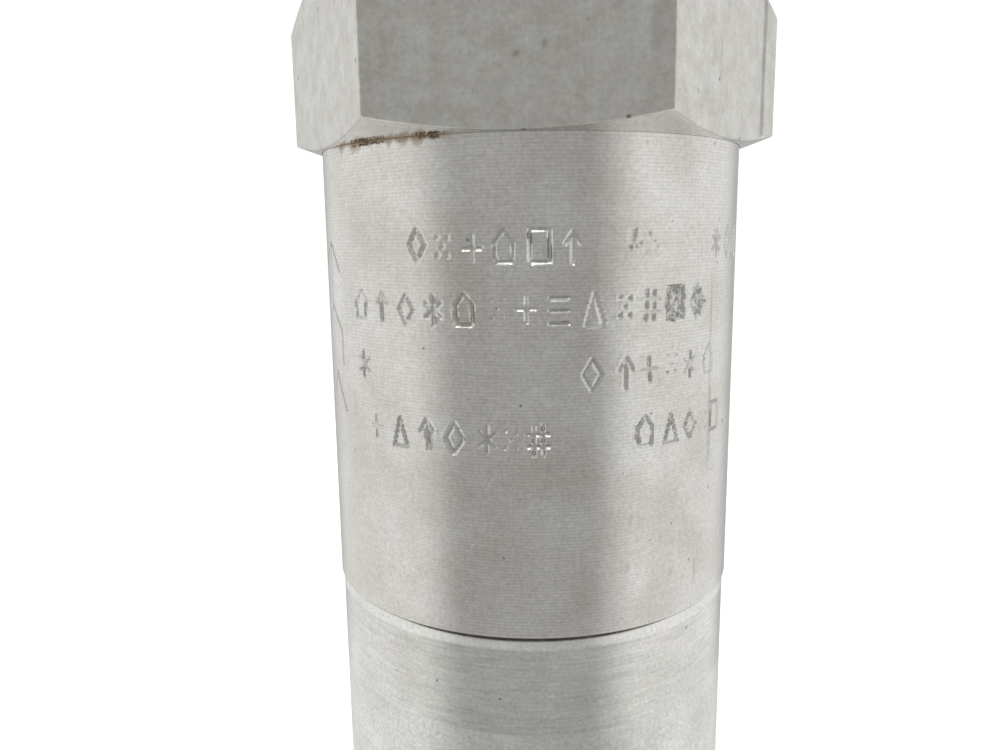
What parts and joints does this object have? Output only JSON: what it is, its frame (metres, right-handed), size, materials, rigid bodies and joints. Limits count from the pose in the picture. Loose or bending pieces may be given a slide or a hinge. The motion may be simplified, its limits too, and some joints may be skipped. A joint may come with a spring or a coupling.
{
  "type": "pressure relief valve",
  "caption": "Small in-line stainless pressure relief valve: hexagon outlet end, round barrel, screwed-in inlet fitting, spring loaded poppet and internal adjuster.",
  "frame": {"origin": "centre of the inlet end face, at the bottom of the male thread", "axes": "+Z along the flow axis from inlet to outlet; two of the hexagon's flats face -Y and +Y"},
  "size_m": [0.0294, 0.0254, 0.0681],
  "materials": {
    "turned_hex_bar": "drawn hexagon flats above a finely turned barrel, warm grey stainless steel",
    "turned_fitting": "coarser turned stainless steel",
    "inner_stainless": "clean turned stainless steel",
    "spring_steel": "drawn spring wire and stamped spring steel",
    "seal_rubber": "moulded black fluoro-rubber",
    "seal_plastic": "turned white PTFE"
  },
  "bodies": {
    "valve_shell": {"valve_body": "turned_hex_bar", "inlet_fitting": "turned_fitting", "joint_seal_ring": "seal_rubber", "joint_backup_ring": "seal_plastic", "seat_insert": "inner_stainless", "seat_seal_ring": "seal_rubber", "seat_retainer": "inner_stainless", "lift_stop_ring": "spring_steel", "main_spring": "spring_steel"},
    "poppet_set": {"poppet": "inner_stainless", "poppet_seal_disc": "seal_plastic", "seal_washer": "inner_stainless", "seal_screw": "inner_stainless", "lower_spring_seat": "inner_stainless"},
    "spring_adjuster": {"upper_spring_seat": "inner_stainless", "spring_shim": "inner_stainless", "thrust_washer": "inner_stainless"},
    "adjusting_screw": {"adjusting_screw": "inner_stainless"},
    "lock_stack": {"lock_washer": "spring_steel"},
    "lock_screw": {"lock_screw": "inner_stainless"}
  },
  "joints": [
    {"name": "poppet_lift", "type": "slide", "parent": "valve_shell", "child": "poppet_set", "axis": [0, 0, 1], "range_m": [0, 0.002], "stiffness_N_per_m": 6000, "springref_m": -0.0035, "deforming": ["main_spring"]},
    {"name": "adjuster_travel", "type": "slide", "parent": "valve_shell", "child": "spring_adjuster", "axis": [0, 0, 1], "range_m": [-0.002, 0], "deforming": ["main_spring"]},
    {"name": "adjusting_screw_turn", "type": "hinge", "parent": "spring_adjuster", "child": "adjusting_screw", "pos_m": [0, 0, 0.0472], "axis": [0, 0, 1], "range_deg": [-721, 1]},
    {"name": "lock_travel", "type": "slide", "parent": "valve_shell", "child": "lock_stack", "axis": [0, 0, 1], "range_m": [0, 0.002]},
    {"name": "lock_screw_turn", "type": "hinge", "parent": "lock_stack", "child": "lock_screw", "pos_m": [0, 0, 0.0525], "axis": [0, 0, 1], "range_deg": [-1, 721]}
  ],
  "couplings": [
    {"joint": "adjusting_screw_turn", "follows": "adjuster_travel", "rad_per_m": 6283.2},
    {"joint": "lock_screw_turn", "follows": "lock_travel", "rad_per_m": 6283.2}
  ]
}
